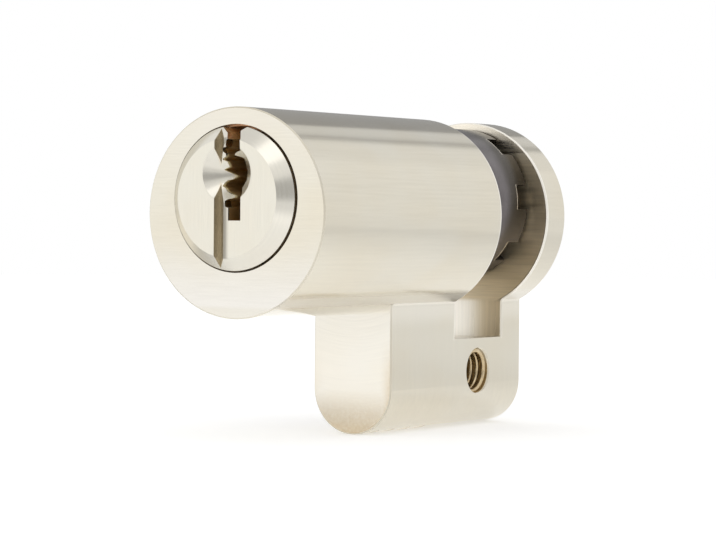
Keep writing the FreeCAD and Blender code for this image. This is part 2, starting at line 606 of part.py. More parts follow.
def cam_lock_spring():
    """Spring under the lock pin's collar."""
    body = on_lock_axis("cam_lock_spring")
    base = size("@lock_hole_floor + @spring_gap")
    room = f"({LOCK_COLLAR_FOOT} - Sizes.lock_hole_floor - 2 * Sizes.spring_gap)"
    coil(body, size("@lock_spring_wire"), size("@lock_spring_d"), base, room,
         size("@lock_spring_turns"))
    return body


def key_pin(stack):
    """Key pin: its tip is lifted by a cut of the key, and its foot ends at the shear line."""
    body = new_body(f"key_pin_{stack}", PIN_X, pin_y(stack), KEY_PIN_FOOT)
    bevelled_pin(body, size("@pin_d / 2"), size(f"@key_pin_{stack}"), size("@pin_tip_d / 2"))
    return body


def driver_pin(stack):
    """Driver pin under the shear line. Some have a waist, against picking."""
    body = new_body(f"driver_pin_{stack}", PIN_X, pin_y(stack), f"{DRIVER_TOP} - Sizes.driver_length")
    length = size("@driver_length")
    bevelled_pin(body, size("@pin_d / 2"), length)
    if stack in WAISTED_DRIVERS:
        waist = new_sketch(body, "waist_outline", "XZ")
        draw_box(waist, size("@pin_waist_d / 2"), size("@pin_d"), size("@pin_collar"),
                 f"{length} - Sizes.pin_collar")
        turn(body, "waist", waist, "V_Axis", cut=True)
    return body


def pin_spring(stack):
    """Spring between a driver pin and the stopper of its bore."""
    floor = f"{STOPPER_TOP} + Sizes.spring_gap"
    body = new_body(f"pin_spring_{stack}", PIN_X, pin_y(stack), floor)
    room = f"({DRIVER_TOP} - Sizes.driver_length - {STOPPER_TOP} - 2 * Sizes.spring_gap)"
    coil(body, size("@spring_wire"), size("@spring_d"), "0", room, size("@spring_turns"))
    return body


def round_bar(name, radius, length, across="0", along="0", height="0", lie=None):
    """A plain cylinder placed by three expressions: upright, or laid by a rotation."""
    bar = doc.addObject("Part::Cylinder", name)
    bar.setExpression("Radius", radius)
    bar.setExpression("Height", length)
    if lie:
        bar.Placement.Rotation = lie
    for axis, expression in zip("xyz", (across, along, height)):
        if expression != "0":
            bar.setExpression(f"Placement.Base.{axis}", expression)
    bar.Visibility = False
    return bar


def flush_pin(label, pin, rod):
    """A pin whose end is flush with the round rod that it is pressed into."""
    piece = doc.addObject("Part::Common", label)
    piece.Label = label
    piece.Base = pin
    piece.Tool = rod
    piece.Refine = False  # faces joined across a seam would spoil the curved end
    return piece


def stopper(stack):
    """Stopper pressed into a pin bore from below, flush with the web's round foot."""
    pin = round_bar(f"stopper_bar_{stack}", f"{CHAMBER_D} / 2 - Sizes.press_gap",
                    size("@stopper_height"), PIN_X, pin_y(stack), size("-@web_drop"))
    rod = round_bar(f"stopper_round_{stack}", FOOT_R, size("@web_front"), along=size("-@web_front"),
                    height=FOOT_HEIGHT, lie=ALONG)
    return flush_pin(f"pin_stopper_{stack}", pin, rod)


def housing_guard(place):
    """Hardened pin across the housing's wall, under the plug, pressed in from the left."""
    pin = round_bar(f"housing_guard_bar_{place}", size("@guard_d / 2 - @press_gap"),
                    size("@barrel_d / 2 + @housing_guard_reach"), size("-@barrel_d / 2"),
                    housing_guard_y(place), HOUSING_GUARD_HEIGHT, lie=ACROSS)
    rod = round_bar(f"housing_guard_round_{place}", size("@barrel_d / 2"), size("@front_length"),
                    along=FRONT, height=BARREL_AXIS, lie=ALONG)
    return flush_pin(f"housing_guard_pin_{place}", pin, rod)


def plug_guard(side, sign):
    """Hardened pin in the plug, behind its face."""
    height = size("@plug_guard_top + @plug_d / 2")
    pin = round_bar(f"plug_guard_bar_{side}", size("@guard_d / 2 - @press_gap"), height,
                    f"{sign} * Sizes.plug_guard_side", f"{PLUG_FRONT} + Sizes.guard_back",
                    f"{PLUG_AXIS} - {PLUG_R}")
    rod = round_bar(f"plug_guard_round_{side}", PLUG_R, size("@front_length"), along=PLUG_FRONT,
                    height=PLUG_AXIS, lie=ALONG)
    return flush_pin(f"plug_guard_pin_{side}", pin, rod)


def build():
    """Make every sub-part, in the order of assembly."""
    parts = [housing(), plug(), retaining_ring(), cam_hub(), cam(), cam_lock_pin(), cam_lock_spring()]
    for stack in STACKS:
        parts += [key_pin(stack), driver_pin(stack), pin_spring(stack), stopper(stack)]
    parts += [housing_guard(place) for place in HOUSING_GUARDS]
    parts += [plug_guard(side, sign) for side, sign in SIDES]
    doc.recompute()
    return parts


def check(parts):
    """Stop if an object failed, or if a sub-part isn't one sound solid."""
    failed = [thing.Label for thing in doc.Objects if {"Invalid", "Error"} & set(thing.State)]
    for part in parts:
        shape = part.Shape
        if shape.isNull() or not shape.isValid() or len(shape.Solids) != 1:
            failed.append(part.Label)
    if failed:
        raise RuntimeError("not sound: " + ", ".join(failed))


def write(parts):
    """Write each sub-part to a STEP file that bears its name."""
    os.makedirs("parts", exist_ok=True)
    for part in parts:
        part.Shape.exportStep(f"parts/{part.Label}.step")
        print(f"{part.Label}: {part.Shape.Volume:.2f} mm3")


finished = build()
check(finished)
write(finished)
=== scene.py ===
import logging
import math
from dataclasses import dataclass, field
from enum import Enum
from typing import Any

import bpy
import numpy as np
from mathutils import Matrix, Vector


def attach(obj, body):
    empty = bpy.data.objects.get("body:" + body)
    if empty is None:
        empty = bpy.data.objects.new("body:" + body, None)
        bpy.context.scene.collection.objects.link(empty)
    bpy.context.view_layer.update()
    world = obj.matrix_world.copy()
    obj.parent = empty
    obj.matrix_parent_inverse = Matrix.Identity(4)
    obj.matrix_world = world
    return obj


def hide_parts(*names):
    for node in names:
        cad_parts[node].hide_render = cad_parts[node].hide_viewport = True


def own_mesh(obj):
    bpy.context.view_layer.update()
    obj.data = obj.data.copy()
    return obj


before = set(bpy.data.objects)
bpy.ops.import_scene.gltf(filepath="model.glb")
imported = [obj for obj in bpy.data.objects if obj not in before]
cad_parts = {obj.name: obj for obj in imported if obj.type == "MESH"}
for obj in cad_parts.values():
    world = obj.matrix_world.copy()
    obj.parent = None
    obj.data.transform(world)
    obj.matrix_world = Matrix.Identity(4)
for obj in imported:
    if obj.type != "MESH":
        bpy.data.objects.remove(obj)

# Looks of a half cylinder lock: satin nickel housing and plug, a blackened cam, and the studio.
# Lengths are millimetres in the classes and metres in the meshes. The frame is the solids' own:
# origin in the middle of the fixing screw hole, +Y to the rear, +Z up, key side towards -Y.

MM = 0.001
FULL_TURN = 2 * math.pi
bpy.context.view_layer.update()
log = logging.getLogger("half_cylinder")

Colour = tuple[float, float, float]
Place = tuple[float, float, float]


class Ray(Enum):
    """Kinds of ray that the studio tells apart, by the outputs of the Light Path node."""

    CAMERA = "Is Camera Ray"
    GLOSSY = "Is Glossy Ray"
    PASSED = "Is Transmission Ray"


class Channel:
    """One output of a shader tree. Arithmetic on channels adds Math nodes."""

    def __init__(self, tree: "Tree", socket: bpy.types.NodeSocket) -> None:
        """Keep the tree and its socket."""
        self.tree = tree
        self.socket = socket

    def _math(self, operation: str, *values: "Channel | float") -> "Channel":
        """Join values by one Math node."""
        sockets = dict(enumerate(values))
        return self.tree.add("ShaderNodeMath", sockets, operation=operation)

    def __add__(self, other: "Channel | float") -> "Channel":
        """Sum."""
        return self._math("ADD", self, other)

    __radd__ = __add__

    def __sub__(self, other: "Channel | float") -> "Channel":
        """Difference."""
        return self._math("SUBTRACT", self, other)

    def __rsub__(self, other: float) -> "Channel":
        """Difference from a number."""
        return self._math("SUBTRACT", other, self)

    def __mul__(self, other: "Channel | float") -> "Channel":
        """Product."""
        return self._math("MULTIPLY", self, other)

    __rmul__ = __mul__

    def __truediv__(self, other: "Channel | float") -> "Channel":
        """Quotient."""
        return self._math("DIVIDE", self, other)

    def __neg__(self) -> "Channel":
        """Negative."""
        return self._math("MULTIPLY", self, -1.0)

    def __abs__(self) -> "Channel":
        """Absolute value."""
        return self._math("ABSOLUTE", self)

    def hypot(self, other: "Channel") -> "Channel":
        """Length of the flat vector of this value and another."""
        return self._math("SQRT", self * self + other * other)

    def angle_over(self, other: "Channel") -> "Channel":
        """Angle in degrees whose tangent is this value over another, full circle."""
        return self._math("ARCTAN2", self, other) * math.degrees(1.0)

    def at_most(self, other: "Channel | float") -> "Channel":
        """The smaller of two values."""
        return self._math("MINIMUM", self, other)

    def at_least(self, other: "Channel | float") -> "Channel":
        """The larger of two values."""
        return self._math("MAXIMUM", self, other)

    def folded(self, step: float) -> "Channel":
        """Distance to the nearest multiple of a step."""
        return self._math("PINGPONG", self, step / 2)

    def mixed(self, other: "Channel", mask: "Channel") -> "Channel":
        """This value where the mask is 0, and the other where it is 1."""
        return self * (1.0 - mask) + other * mask

    def rise(self, low: float, high: float, top: float = 1.0) -> "Channel":
        """Smooth step from 0 at low to the top at high. With low above high it falls instead."""
        sockets = {"Value": self, "From Min": low, "From Max": high, "To Max": top}
        return self.tree.add("ShaderNodeMapRange", sockets, interpolation_type="SMOOTHSTEP")


class Tree:
    """Node tree of one material or world, filled by code."""

    def __init__(self, owner: bpy.types.Material | bpy.types.World) -> None:
        """Empty the owner's tree and start afresh.

        Args:
            owner: the material or world whose nodes are made.
        """
        owner.use_nodes = True
        self.nodes = owner.node_tree.nodes
        self.links = owner.node_tree.links
        self.nodes.clear()

    def add(self, kind: str, sockets: dict[Any, Any] | None = None, output: str | int = 0,
            **settings: Any) -> Channel | None:
        """Add a node.

        Args:
            kind: the node's type.
            sockets: values or channels of its inputs, by name, identifier or number.
            output: which of its outputs the channel carries.
            settings: its properties, which are set first.

        Returns:
            The channel of the chosen output, or None for a node without outputs.
        """
        node = self.nodes.new(kind)
        for key, value in settings.items():
            setattr(node, key, value)
        for key, value in (sockets or {}).items():
            socket = self._input(node, key)
            if isinstance(value, Channel):
                self.links.new(value.socket, socket)
            elif socket.type == "RGBA":
                socket.default_value = (*value, 1.0)
            else:
                socket.default_value = value
        return Channel(self, node.outputs[output]) if node.outputs else None

    @staticmethod
    def _input(node: bpy.types.Node, key: str | int) -> bpy.types.NodeSocket:
        """Find an input by number, identifier or name."""
        if isinstance(key, int):
            return node.inputs[key]
        found = [s for s in node.inputs if s.identifier == key]
        return found[0] if found else node.inputs[key]

    def place(self) -> tuple[Channel, Channel, Channel]:
        """The point on the piece in millimetres, as three channels."""
        spot = self.add("ShaderNodeTexCoord", output="Object")
        scaled = self.add("ShaderNodeVectorMath", {0: spot, "Scale": 1 / MM}, operation="SCALE")
        return self.split(scaled)

    def facing(self) -> tuple[Channel, Channel, Channel]:
        """The surface's direction in the piece's own axes, as three channels."""
        return self.split(self.add("ShaderNodeTexCoord", output="Normal"))

    def split(self, vector: Channel) -> tuple[Channel, Channel, Channel]:
        """The three components of a vector."""
        first = self.add("ShaderNodeSeparateXYZ", {0: vector})
        outputs = first.socket.node.outputs
        return first, Channel(self, outputs[1]), Channel(self, outputs[2])

    def noise(self, x: Channel, y: Channel, z: Channel | float, detail: float) -> Channel:
        """Noise of about 0 to 1 whose cells are one unit wide."""
        at = self.add("ShaderNodeCombineXYZ", {0: x, 1: y, 2: z})
        return self.add("ShaderNodeTexNoise", {"Vector": at, "Scale": 1.0, "Detail": detail})

    def blend(self, mask: Channel, low: Channel | Colour, high: Channel | Colour) -> Channel:
        """A colour between two colours by a mask of 0 to 1."""
        sockets = {"Factor_Float": mask, "A_Color": low, "B_Color": high}
        return self.add("ShaderNodeMix", sockets, output=2, data_type="RGBA")

    def bump(self, height: Channel, strength: float, depth: float) -> Channel:
        """A bent normal from a height of 0 to 1 and a depth in millimetres."""
        return self.add("ShaderNodeBump", {
            "Height": height, "Strength": strength, "Distance": depth * MM})

    def surface(self, shader: Channel) -> None:
        """Use a shader as the surface."""
        self.add("ShaderNodeOutputMaterial", {"Surface": shader})


@dataclass(frozen=True)
class Fade:
    """A mask along a coordinate: 0 at its start, its top at its end, and smooth between them."""

    start: float
    end: float
    top: float = 1.0

    def at(self, value: Channel, origin: float = 0.0) -> Channel:
        """The mask at a value, with start and end counted from an origin."""
        return value.rise(origin + self.start, origin + self.end, self.top)


@dataclass(frozen=True)
class Grain:
    """Noise stretched into marks or patches: its cells to the millimetre along three ways."""

    first: float
    second: float
    third: float = 0.0
    detail: float = 3.0

    def over(self, tree: Tree, a: Channel, b: Channel, c: Channel | float = 0.0) -> Channel:
        """The noise over three coordinates in millimetres, about 0 to 1."""
        return tree.noise(a * self.first, b * self.second, c * self.third, self.detail)


def new_material(name: str) -> tuple[bpy.types.Material, Tree]:
    """An empty material and its tree."""
    material = bpy.data.materials.new(name)
    return material, Tree(material)


def numbered(name: str, count: int) -> list[str]:
    """The names of a row of like nodes, counted from 1."""
    return [f"{name}_{i}" for i in range(1, count + 1)]


def dress(names: list[str], material: bpy.types.Material) -> None:
    """Give carried-over nodes a material and report each.

    Args:
        names: the nodes.
        material: what they are dressed in.
    """
    for name in names:
        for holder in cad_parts[name].material_slots:
            holder.material = material
        log.info("%s wears %s", name, material.name)


def tube_mesh(name: str, points: np.ndarray, capped: bool = False) -> bpy.types.Object:
    """A smooth mesh on closed rings of points, joined ring to ring by four-sided faces.

    The face at (i, j) joins the points (i, j), (i + 1, j), (i + 1, j + 1) and (i, j + 1), and the
    last point of a ring joins the first.

    Args:
        name: the object's name.
        points: array of shape (rings, points in a ring, 3) in metres.
        capped: whether the first and the last ring are filled.

    Returns:
        The object, linked to the scene.
    """
    rings, around, _ = points.shape
    i, j = np.meshgrid(np.arange(rings - 1), np.arange(around), indexing="ij")
    after = (j + 1) % around
    quads = np.stack([i * around + j, (i + 1) * around + j,
                      (i + 1) * around + after, i * around + after], axis=-1)
    faces = quads.reshape(-1, 4).tolist()
    if capped:
        ring = list(range(around))
        faces += [ring, [rings * around - 1 - k for k in ring]]
    mesh = bpy.data.meshes.new(name)
    mesh.from_pydata(points.reshape(-1, 3).tolist(), [], faces)
    mesh.polygons.foreach_set("use_smooth", np.ones(len(mesh.polygons), dtype=bool))
    mesh.update()
    made = bpy.data.objects.new(name, mesh)
    bpy.context.scene.collection.objects.link(made)
    return made


class HousingZones:
    """The point of the housing that is shaded, and masks of 0 to 1 for the zones it lies in."""

    def __init__(self, tree: Tree, housing: "Housing", finish: "HousingFinish") -> None:
        """Work the zones out.

        Args:
            tree: where the nodes go.
            housing: the sizes that the zones follow.
            finish: how soft the zones' borders are.
        """
        self.tree, self.housing = tree, housing
        self.x, self.y, self.z = self.spot = tree.place()
        _, rearward, upward = tree.facing()
        self.radius = self.x.hypot(self.z - housing.barrel_height)
        self.end = finish.end_facing.at(abs(rearward))
        self.front = finish.end_facing.at(-rearward)
        self.side = 1.0 - self.end
        self.edge = finish.edge_facing.at(abs(rearward)) * self.side
        self.web = finish.web_line.at(self.z, housing.web_top)
        self.barrel = 1.0 - self.web
        self.under = finish.underside.at(self.z) * self.side * self.barrel
        in_slot = finish.slot_line.at(abs(self.y), housing.slot_half)
        self.off_slot = 1.0 - in_slot
        self.wall = in_slot * self.end
        self.slot_floor = in_slot * finish.floor_facing.at(upward)
        self.depth = self.y - housing.front
        self.over_plug = self.z - housing.plug_height
        skin = finish.bore_skin.at(self.x.hypot(self.over_plug), housing.bore_r)
        self.bore = (skin * self.off_slot * finish.bore_front.at(self.depth)
                     * finish.bore_rear.at(self.y, housing.rear))


@dataclass(frozen=True)
class SatinNickel:
    """Nickel plate over brass, ground and brushed.

    The colours are reflectances. The plate drifts between two tones over wide patches. Marks of
    the tools are streaks of noise, long along the cut and short across it.
    """

    plate: Colour = (0.705, 0.657, 0.545)
    cool: Colour = (0.715, 0.680, 0.586)
    white: Colour = (0.785, 0.760, 0.710)
    drift: Fade = Fade(0.3, 0.7)
    roughness: float = 0.10
    mark_tone: float = 0.10
    mark_rough: float = 0.06
    mark_strength: float = 0.6
    mark_depth: float = 0.002

    def shader(self, tree: Tree, colour: Channel, rough: Channel, marks: Channel,
               metal: Channel) -> Channel:
        """The plate's shader.

        Args:
            tree: where the nodes go.
            colour: the reflectance over the surface.
            rough: change of roughness over the surface, about 0.
            marks: marks of the tools, 0 to 1.
            metal: how metallic the surface is, less where it is dirty.

        Returns:
            The shader's channel.
        """
        tone = marks * self.mark_tone + (1.0 - self.mark_tone / 2)
        streaked = tree.add("ShaderNodeVectorMath", {0: colour, "Scale": tone},
                            operation="SCALE")
        return tree.add("ShaderNodeBsdfPrincipled", {
            "Base Color": streaked, "Metallic": metal,
            "Roughness": rough + marks * self.mark_rough + self.roughness,
            "Normal": tree.bump(marks, self.mark_strength, self.mark_depth)})


@dataclass(frozen=True)
class HousingFinish(SatinNickel):
    """The housing: bright outside, with milled and duller slot walls, and brass in its bores."""

    milled: Colour = (0.76, 0.655, 0.475)
    tan: Colour = (0.58, 0.48, 0.335)
    dull: Colour = (0.44, 0.41, 0.35)
    dark_line_and_shade: Colour = (0.17, 0.14, 0.10)
    wear_and_highlight: Colour = (0.93, 0.90, 0.83)
    brass: Colour = (0.52, 0.40, 0.26)
    mouth: Colour = (0.50, 0.39, 0.26)
    bore_glint: Colour = (0.98, 0.66, 0.42)
    threads: Colour = (0.54, 0.41, 0.22)

    # Noise of the plate and of each tool.
    patches: Grain = Grain(0.15, 0.09, 0.15, detail=2.0)
    speckle: Grain = Grain(3.0, 3.0, 3.0)
    drawn: Grain = Grain(4.0, 0.10, 4.0)
    upright: Grain = Grain(3.0, 3.0, 0.12)
    ground: Grain = Grain(0.3, 1.0, 7.0)
    arcs: Grain = Grain(5.0, 0.15, detail=2.0)
    cutter: Grain = Grain(0.25, 1.0, 4.5)
    cutter_gain: float = 4.0
    cutter_base: float = -1.5

    # Borders of the zones: by facing, or as distances from the edge, wall or skin they follow.
    end_facing: Fade = Fade(0.85, 0.97)
    edge_facing: Fade = Fade(0.15, 0.4)
    floor_facing: Fade = Fade(0.8, 0.95)
    web_line: Fade = Fade(0.3, -0.3)
    slot_line: Fade = Fade(0.2, 0.05)
    underside: Fade = Fade(9.6, 8.6)
    bore_skin: Fade = Fade(0.3, 0.2)
    bore_front: Fade = Fade(0.05, 0.2)
    bore_rear: Fade = Fade(-0.1, -0.3)
    screw_skin: Fade = Fade(0.04, 0.01)

    # Painted highlights, by height: low and high on the front face, and under the barrel.
    highlight_low: Fade = Fade(17.0, 7.0, 0.95)
    highlight_high: Fade = Fade(21.0, 28.0, 0.35)
    highlight_web_loss: float = 0.5
    under_highlight: Fade = Fade(8.4, 7.4, 0.4)
    under_highlight_base: float = 0.55

    # Painted tan reflection on the web's ends: along their outline, and speckled all over the
    # foot.
    outline: Fade = Fade(-1.6, 0.3)
    outline_height: Fade = Fade(5.0, -2.0)
    outline_base: float = 0.45
    outline_lean: float = 0.06
    speckle_gain: float = 0.9
    speckle_base: float = 0.55
    foot_dull: Fade = Fade(-1.2, -2.2, 0.22)

    # Painted highlights: a worn rim just outside the slot, and a sheen below the web's top.
    rim_middle: float = 0.12
    rim_width: Fade = Fade(0.24, 0.14)
    rim_foot: Fade = Fade(-0.2, 0.0)
    rim_base: float = 0.9
    rim_web_loss: float = 0.5
    sheen: Fade = Fade(-3.0, -0.8, 0.35)

    # Slot walls: tan to the right, a painted highlight to the left and at the top, a dark line at
    # the barrel's skin and painted shade on a stretch beside the ring.
    milled_web_loss: float = 0.15
    wall_tan: Fade = Fade(1.5, 4.0, 0.6)
    lit_left: Fade = Fade(3.0, 0.2, 0.85)
    lit_top: Fade = Fade(23.0, 28.0, 0.6)
    skin_line: Fade = Fade(-0.34, -0.14, 0.7)
    skin_line_height: Fade = Fade(26.0, 23.0)
    ring_shade_radius: Fade = Fade(8.8, 9.6, 0.35)
    ring_shade_foot: Fade = Fade(14.0, 19.0)
    ring_shade_top: Fade = Fade(26.0, 22.0)

    # The bore: a darker mouth by depth, and a painted copper highlight over the key slot by
    # place.
    mouth_depth: Fade = Fade(1.3, 1.5)
    bore_glint_left: Fade = Fade(-2.2, -1.4)
    bore_glint_right: Fade = Fade(3.0, 1.8)
    bore_glint_foot: Fade = Fade(6.8, 7.1)
    bore_dirt: float = 0.9

    # What each zone adds to the roughness.
    patch_rough: float = 0.03
    wall_rough: float = 0.28
    wall_polish: Fade = Fade(22.0, 28.0, 0.18)
    web_polish: float = 0.1
    edge_rough: float = 0.45
    under_rough: float = 0.25
    floor_rough: float = 0.12
    bore_rough: float = 0.35

    def marks(self, at: HousingZones) -> Channel:
        """Marks of the tools: drawn, ground, turned and milled, and upright strokes on the web.

        Args:
            at: the shaded point.

        Returns:
            Their height, about 0 to 1.
        """
        tree = at.tree
        upright = self.upright.over(tree, *at.spot)
        side = self.drawn.over(tree, *at.spot).mixed(upright, at.web)
        arcs = self.arcs.over(tree, at.radius, at.x)
        end = self.ground.over(tree, *at.spot).mixed(arcs, at.web)
        cut = self.cutter.over(tree, *at.spot).mixed(upright, at.web)
        return (side * at.side + end * at.end * (1.0 - at.wall)
                + (cut * self.cutter_gain + self.cutter_base) * at.wall)

    def painted_highlights(self, at: HousingZones, colour: Channel) -> Channel:
        """Painted highlights: paler plate on the front face and under the barrel.

        Args:
            at: the shaded point.
            colour: what is there so far.

        Returns:
            The colour with the painted highlights.
        """
        spread = self.highlight_low.at(at.z).at_least(self.highlight_high.at(at.z))
        front = at.front * spread * at.off_slot * (1.0 - at.web * self.highlight_web_loss)
        under = at.under * (self.under_highlight.at(at.z) + self.under_highlight_base)
        return at.tree.blend(front.at_least(under), colour, self.white)

    def tan_reflection_and_dull_foot(self, at: HousingZones, colour: Channel) -> Channel:
        """Painted tan reflection on the ends of the web, and a duller foot along its sides.

        Args:
            at: the shaded point.
            colour: what is there so far.

        Returns:
            The colour with the painted reflection and the duller foot.
        """
        foot_r = at.housing.foot_r
        drop = (at.z - at.housing.foot_height).at_most(0.0)
        # Painted tan reflection, along the outline and over the foot.
        outline = (self.outline.at(at.x.hypot(drop), foot_r) * self.outline_height.at(at.z)
                   * (at.x * self.outline_lean + self.outline_base))
        speckle = self.speckle.over(at.tree, *at.spot) * self.speckle_gain + self.speckle_base
        tint = (drop / -foot_r).at_least(outline) * speckle
        colour = at.tree.blend(tint * at.web * at.end * at.off_slot, colour, self.tan)
        return at.tree.blend(self.foot_dull.at(at.z) * at.web * at.side, colour, self.dull)

    def rubbed_and_highlit(self, at: HousingZones, colour: Channel) -> Channel:
        """Bright rims beside the slot, worn and with a painted highlight, and a painted sheen
        below the web's top.

        Args:
            at: the shaded point.
            colour: what is there so far.

        Returns:
            The colour with the rims and the sheen.
        """
        housing = at.housing
        off_rim = abs(abs(at.y) - (housing.slot_half + self.rim_middle))
        rim = (self.rim_width.at(off_rim) * at.side * self.rim_foot.at(at.z, housing.slot_floor)
               * (self.rim_base - at.web * self.rim_web_loss))
        sheen = self.sheen.at(at.z, housing.web_top) * at.web * at.side
        return at.tree.blend(rim.at_least(sheen), colour, self.wear_and_highlight)

    def walls(self, at: HousingZones, colour: Channel) -> Channel:
        """The slot's milled walls with painted highlights and shade, and its floor painted
        bright.

        Args:
            at: the shaded point.
            colour: what is there so far.

        Returns:
            The colour with walls and floor.
        """
        tree = at.tree
        cut = at.wall * (1.0 - at.web * self.milled_web_loss)
        colour = tree.blend(cut, colour, self.milled)
        colour = tree.blend(at.wall * at.web * self.wall_tan.at(at.x), colour, self.tan)
        # Painted highlight on the wall's left and top, and the slot's floor painted bright.
        lit = (self.lit_left.at(at.x) * at.web).at_least(self.lit_top.at(at.z))
        colour = tree.blend((at.wall * lit).at_least(at.slot_floor), colour, self.wear_and_highlight)
        # A dark line where the wall meets the barrel's skin, and painted shade beside the ring.
        skin_line = self.skin_line.at(at.radius, at.housing.barrel_r) * self.skin_line_height.at(at.z)
        ring_shade = self.ring_shade_foot.at(at.z) * self.ring_shade_top.at(at.z) * self.ring_shade_radius.at(at.radius)
        return tree.blend(at.wall * at.barrel * skin_line.at_least(ring_shade), colour, self.dark_line_and_shade)

    def holes(self, at: HousingZones, colour: Channel) -> Channel:
        """The plug's bore in bare brass with a painted highlight over the key slot, and the screw
        hole's wall.

        Args:
            at: the shaded point.
            colour: what is there so far.

        Returns:
            The colour with the holes.
        """
        tree = at.tree
        lining = tree.blend(self.mouth_depth.at(at.depth), self.mouth, self.brass)
        # Painted copper highlight where the bore shows through the key slot's top.
        over_slot = (self.bore_glint_left.at(at.x) * self.bore_glint_right.at(at.x)
                     * self.bore_glint_foot.at(at.over_plug))
        lining = tree.blend(over_slot, lining, self.bore_glint)
        colour = tree.blend(at.bore, colour, lining)
        screw = self.screw_skin.at(at.y.hypot(at.z), at.housing.screw_r)
        return tree.blend(screw, colour, self.threads)

    def rough(self, at: HousingZones, patches: Channel) -> Channel:
        """Change of roughness over the housing.

        Args:
            at: the shaded point.
            patches: the plate's drift, 0 to 1.

        Returns:
            What is added to the plate's roughness.
        """
        wall = self.wall_rough - self.wall_polish.at(at.z) - at.web * self.web_polish
        return (patches * self.patch_rough + at.wall * wall + at.edge * self.edge_rough
                + at.under * self.under_rough + at.slot_floor * self.floor_rough
                + at.bore * self.bore_rough)

    def material(self, housing: "Housing") -> bpy.types.Material:
        """The housing's material.

        Args:
            housing: the sizes that the marks follow.

        Returns:
            The material.
        """
        material, tree = new_material("nickel_body")
        at = HousingZones(tree, housing, self)
        patches = self.patches.over(tree, *at.spot)
        colour = tree.blend(self.drift.at(patches), self.plate, self.cool)
        for coat in (self.painted_highlights, self.tan_reflection_and_dull_foot, self.rubbed_and_highlit, self.walls, self.holes):
            colour = coat(at, colour)
        metal = 1.0 - at.bore * self.bore_dirt
        tree.surface(self.shader(tree, colour, self.rough(at, patches), self.marks(at), metal))
        return material


class PlugZones:
    """The point of the plug that is shaded, and masks of 0 to 1 for the zones it lies in."""

    def __init__(self, tree: Tree, plug: "KeyPlug", finish: "PlugFinish") -> None:
        """Work the zones out.

        Args:
            tree: where the nodes go.
            plug: the sizes that the zones follow.
            finish: how soft the zones' borders are.
        """
        self.tree = tree
        self.x, y, z = self.spot = tree.place()
        self.rightward, rearward, _ = tree.facing()
        self.up = z - plug.axis_height
        self.radius = self.x.hypot(self.up)
        self.depth = y - plug.front
        self.flat_r = plug.radius - plug.bevel
        self.face = finish.face_facing.at(-rearward)
        skin = (self.depth + self.flat_r).at_most(plug.radius)
        inside = finish.under_skin.at(skin - self.radius) * finish.behind_face.at(self.depth)
        cone_r = (self.x - plug.cone_x).hypot(self.up - plug.cone_up)
        off_cone = cone_r + self.depth - plug.cone_r
        self.cone = finish.cone_skin.at(off_cone) * finish.cone_facing.at(abs(rearward))
        half = plug.groove_left / 2
        groove = (finish.groove_side.at(abs(self.x + half), half)
                  * finish.groove_floor.at(self.depth, plug.groove_depth))
        self.groove_wall = groove * finish.wall_facing.at(self.rightward)
        self.brass = inside * (1.0 - self.cone) * (1.0 - groove)
        self.ward = self.brass * finish.ward_reach.at(off_cone)


